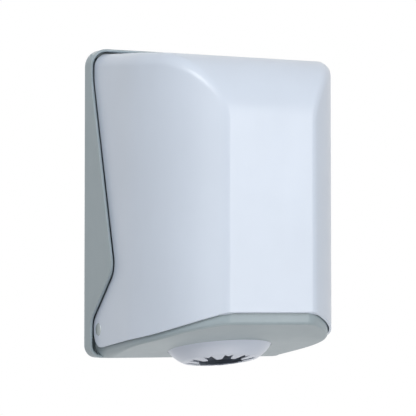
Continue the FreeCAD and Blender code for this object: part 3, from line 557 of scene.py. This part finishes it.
class DISPENSER_OT_hinges(bpy.types.Operator):
    """Pins, bushes and clips of the two hinges"""
    bl_idname = "dispenser.hinges"
    bl_label = "Hinges"

    def execute(self, context):
        width = context.scene.dispenser_edges.hardware
        for side in ("left", "right"):
            softened("hinge_pin_" + side, "steel_pin", width)
            softened("hinge_bush_" + side, "bush_grey", width / 2)
            softened("hinge_clip_" + side, "steel_clip", width / 2)
        return {"FINISHED"}


class DISPENSER_OT_lock(bpy.types.Operator):
    """Key lock in the cover's top, with its nut, cam and washer"""
    bl_idname = "dispenser.lock"
    bl_label = "Lock"

    def execute(self, context):
        width = context.scene.dispenser_edges.hardware
        softened("lock_housing", "chromed_lock", width)
        softened("lock_nut", "zinc_plate", width)
        softened("lock_plug", "chromed_lock", width / 2)
        softened("lock_cam", "zinc_plate", width)
        softened("cam_washer", "zinc_plate", width / 2)
        return {"FINISHED"}


class DISPENSER_OT_cam_screw(bpy.types.Operator):
    """Screw that holds the cam on the lock"""
    bl_idname = "dispenser.cam_screw"
    bl_label = "Cam Screw"

    def execute(self, context):
        sizes = context.scene.dispenser_screws
        lock = Matrix.Translation(sizes.lock_place) @ Matrix.Rotation(sizes.lock_tilt, 4, "X")
        turn = lock.to_3x3().to_4x4() @ Matrix.Rotation(math.radians(180.0), 4, "X")
        place = lock @ Vector((0.0, 0.0, -sizes.cam_seat))
        bm = bmesh.new()
        pan_screw(bm, place, turn, sizes.cam_radius, sizes.cam_height, sizes.cam_grip)
        finished_screws("cam_screw", bm)
        return {"FINISHED"}


class DISPENSER_OT_keeper(bpy.types.Operator):
    """Bent steel strap that the cam locks behind"""
    bl_idname = "dispenser.keeper"
    bl_label = "Keeper"

    def execute(self, context):
        softened("lock_keeper", "zinc_plate", context.scene.dispenser_edges.hardware)
        return {"FINISHED"}


class DISPENSER_OT_screws(bpy.types.Operator):
    """Screws of the tray and of the keeper"""
    bl_idname = "dispenser.screws"
    bl_label = "Screws"

    def execute(self, context):
        sizes = context.scene.dispenser_screws
        half = sizes.keeper_apart / 2
        self.row("tray_screws", (-sizes.tray_outer, -sizes.tray_inner, sizes.tray_inner,
                                 sizes.tray_outer))
        self.row("keeper_screws", (sizes.keeper_middle - half, sizes.keeper_middle + half))
        return {"FINISHED"}

    def row(self, node, xs):
        """Row of like screws that stand out from the wall, for one CAD node."""
        sizes = bpy.context.scene.dispenser_screws
        low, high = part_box(node)
        seat = low.y + sizes.head_height
        upright = Matrix.Rotation(math.radians(90.0), 4, "X")
        bm = bmesh.new()
        for i, x in enumerate(xs):
            turn = upright @ Matrix.Rotation(FIRST_TURN + TURN_STEP * i, 4, "Z")
            pan_screw(bm, Vector((x, seat, (low.z + high.z) / 2)), turn, sizes.head_radius,
                      sizes.head_height, high.y - seat)
        finished_screws(node, bm)


class DISPENSER_OT_buffers(bpy.types.Operator):
    """Rubber buffers behind the cover's top edge"""
    bl_idname = "dispenser.buffers"
    bl_label = "Buffers"

    def execute(self, context):
        softened("stop_buffers", "rubber_black",
                 context.scene.dispenser_edges.buffer)
        return {"FINISHED"}


def background_rays(tree):
    """1 for the rays that see the background: from the camera, or by way of metal or glass."""
    path = tree.nodes.new("ShaderNodeLightPath")
    seen = path.outputs["Is Camera Ray"]
    for kind in ("Is Glossy Ray", "Is Transmission Ray"):
        either = tree.nodes.new("ShaderNodeMath")
        either.operation = "MAXIMUM"
        tree.links.new(seen, either.inputs[0])
        tree.links.new(path.outputs[kind], either.inputs[1])
        seen = either.outputs["Value"]
    return seen


def lamp(name, place, power, width, height, target, tint):
    """Large soft lamp that faces a point and doesn't show itself."""
    light = bpy.data.lights.new(name, "AREA")
    light.shape = "ELLIPSE" if width == height else "RECTANGLE"
    light.size = width
    light.size_y = height
    light.energy = power
    light.color = tint
    stand = bpy.data.objects.new(name, light)
    stand.location = place
    stand.rotation_mode = "QUATERNION"
    stand.rotation_quaternion = (Vector(target) - Vector(place)).to_track_quat("-Z", "Y")
    stand.visible_camera = False
    bpy.context.scene.collection.objects.link(stand)


class DISPENSER_OT_stage(bpy.types.Operator):
    """Camera, soft studio light and pale floor"""
    bl_idname = "dispenser.stage"
    bl_label = "Stage"

    def execute(self, context):
        studio = context.scene.dispenser_studio
        context.scene.view_settings.view_transform = "Standard"
        self.camera(studio)
        self.surroundings(studio)
        self.floor(studio)
        centre = (CAD_LOW + CAD_HIGH) / 2
        for name, (place, width, height, tint) in LAMPS.items():
            power = getattr(studio, name + "_power")
            lamp(name + "_lamp", place, power, width, height, centre, tint)
        return {"FINISHED"}

    def camera(self, studio):
        data = bpy.data.cameras.new("camera")
        data.lens = studio.camera_lens
        data.sensor_width = SENSOR_WIDTH
        camera = bpy.data.objects.new("camera", data)
        camera.location = studio.camera_place
        level = math.radians(90.0)
        camera.rotation_euler = (level + studio.camera_rise, 0.0, -studio.camera_turn)
        bpy.context.scene.collection.objects.link(camera)
        bpy.context.scene.camera = camera

    def surroundings(self, studio):
        """Even light all round; the background itself shows as white."""
        world = bpy.data.worlds.new("studio")
        world.use_nodes = True
        bpy.context.scene.world = world
        tree = world.node_tree
        tree.nodes.clear()
        light = tree.nodes.new("ShaderNodeBackground")
        light.inputs["Color"].default_value = (*WORLD_TINT, 1.0)
        light.inputs["Strength"].default_value = studio.ambient
        white = tree.nodes.new("ShaderNodeBackground")
        white.inputs["Color"].default_value = (*WHITE, 1.0)
        white.inputs["Strength"].default_value = 1.0
        mix = tree.nodes.new("ShaderNodeMixShader")
        tree.links.new(background_rays(tree), mix.inputs["Fac"])
        tree.links.new(light.outputs["Background"], mix.inputs[1])
        tree.links.new(white.outputs["Background"], mix.inputs[2])
        output = tree.nodes.new("ShaderNodeOutputWorld")
        tree.links.new(mix.outputs["Shader"], output.inputs["Surface"])

    def floor(self, studio):
        bm = bmesh.new()
        bmesh.ops.create_grid(bm, x_segments=1, y_segments=1, size=studio.floor_width / 2)
        bmesh.ops.translate(bm, verts=bm.verts, vec=(0.0, 0.0, CAD_LOW.z - studio.floor_drop))
        mesh = bpy.data.meshes.new("floor")
        bm.to_mesh(mesh)
        bm.free()
        mesh.materials.append(self.floor_paper())
        floor = bpy.data.objects.new("floor", mesh)
        bpy.context.scene.collection.objects.link(floor)

    def floor_paper(self):
        """Pale paper that glows where it is background, so that it shows nearly white."""
        finish = Finish("floor_paper")
        tone = finish.ranged(finish.noise(scale=0.8), 0.0, 1.0)
        finish.coloured(finish.blended(tone, *FLOOR_TONES))
        finish.shader.inputs["Roughness"].default_value = 0.9
        glow = finish.add("ShaderNodeEmission")
        mix = finish.add("ShaderNodeMixShader")
        finish.join(finish.scaled(background_rays(finish.tree), FLOOR_GLOW), mix.inputs["Fac"])
        finish.join(finish.shader.outputs["BSDF"], mix.inputs[1])
        finish.join(glow.outputs["Emission"], mix.inputs[2])
        finish.join(mix.outputs["Shader"], finish.output.inputs["Surface"])
        return finish.material


class DISPENSER_PT_panel(bpy.types.Panel):
    """Sizes, colours and pieces of the dispenser"""
    bl_label = "Paper Dispenser"
    bl_space_type = "VIEW_3D"
    bl_region_type = "UI"
    bl_category = "Dispenser"

    def draw(self, context):
        for group in SETTINGS:
            box = self.layout.box()
            box.label(text=group.__doc__)
            values = getattr(context.scene, SETTINGS[group])
            for name in group.__annotations__:
                box.prop(values, name)
        for piece in PIECES:
            self.layout.operator(piece.bl_idname)


SETTINGS = {
    DispenserPlastics: "dispenser_plastics",
    DispenserMetals: "dispenser_metals",
    DispenserEdges: "dispenser_edges",
    DispenserScrews: "dispenser_screws",
    DispenserStudio: "dispenser_studio",
}

PIECES = (
    DISPENSER_OT_back_plate,
    DISPENSER_OT_bottom_tray,
    DISPENSER_OT_cover,
    DISPENSER_OT_nozzle,
    DISPENSER_OT_hinges,
    DISPENSER_OT_lock,
    DISPENSER_OT_cam_screw,
    DISPENSER_OT_keeper,
    DISPENSER_OT_screws,
    DISPENSER_OT_buffers,
    DISPENSER_OT_stage,
)


def register():
    for group, name in SETTINGS.items():
        bpy.utils.register_class(group)
        setattr(bpy.types.Scene, name, PointerProperty(type=group))
    for piece in PIECES:
        bpy.utils.register_class(piece)
    bpy.utils.register_class(DISPENSER_PT_panel)


def unregister():
    bpy.utils.unregister_class(DISPENSER_PT_panel)
    for piece in reversed(PIECES):
        bpy.utils.unregister_class(piece)
    for group, name in reversed(SETTINGS.items()):
        delattr(bpy.types.Scene, name)
        bpy.utils.unregister_class(group)


def main():
    register()
    bpy.ops.dispenser.back_plate()
    bpy.ops.dispenser.bottom_tray()
    bpy.ops.dispenser.cover()
    bpy.ops.dispenser.nozzle()
    bpy.ops.dispenser.hinges()
    bpy.ops.dispenser.lock()
    bpy.ops.dispenser.cam_screw()
    bpy.ops.dispenser.keeper()
    bpy.ops.dispenser.screws()
    bpy.ops.dispenser.buffers()
    bpy.ops.dispenser.stage()


if __name__ == "__main__":
    main()
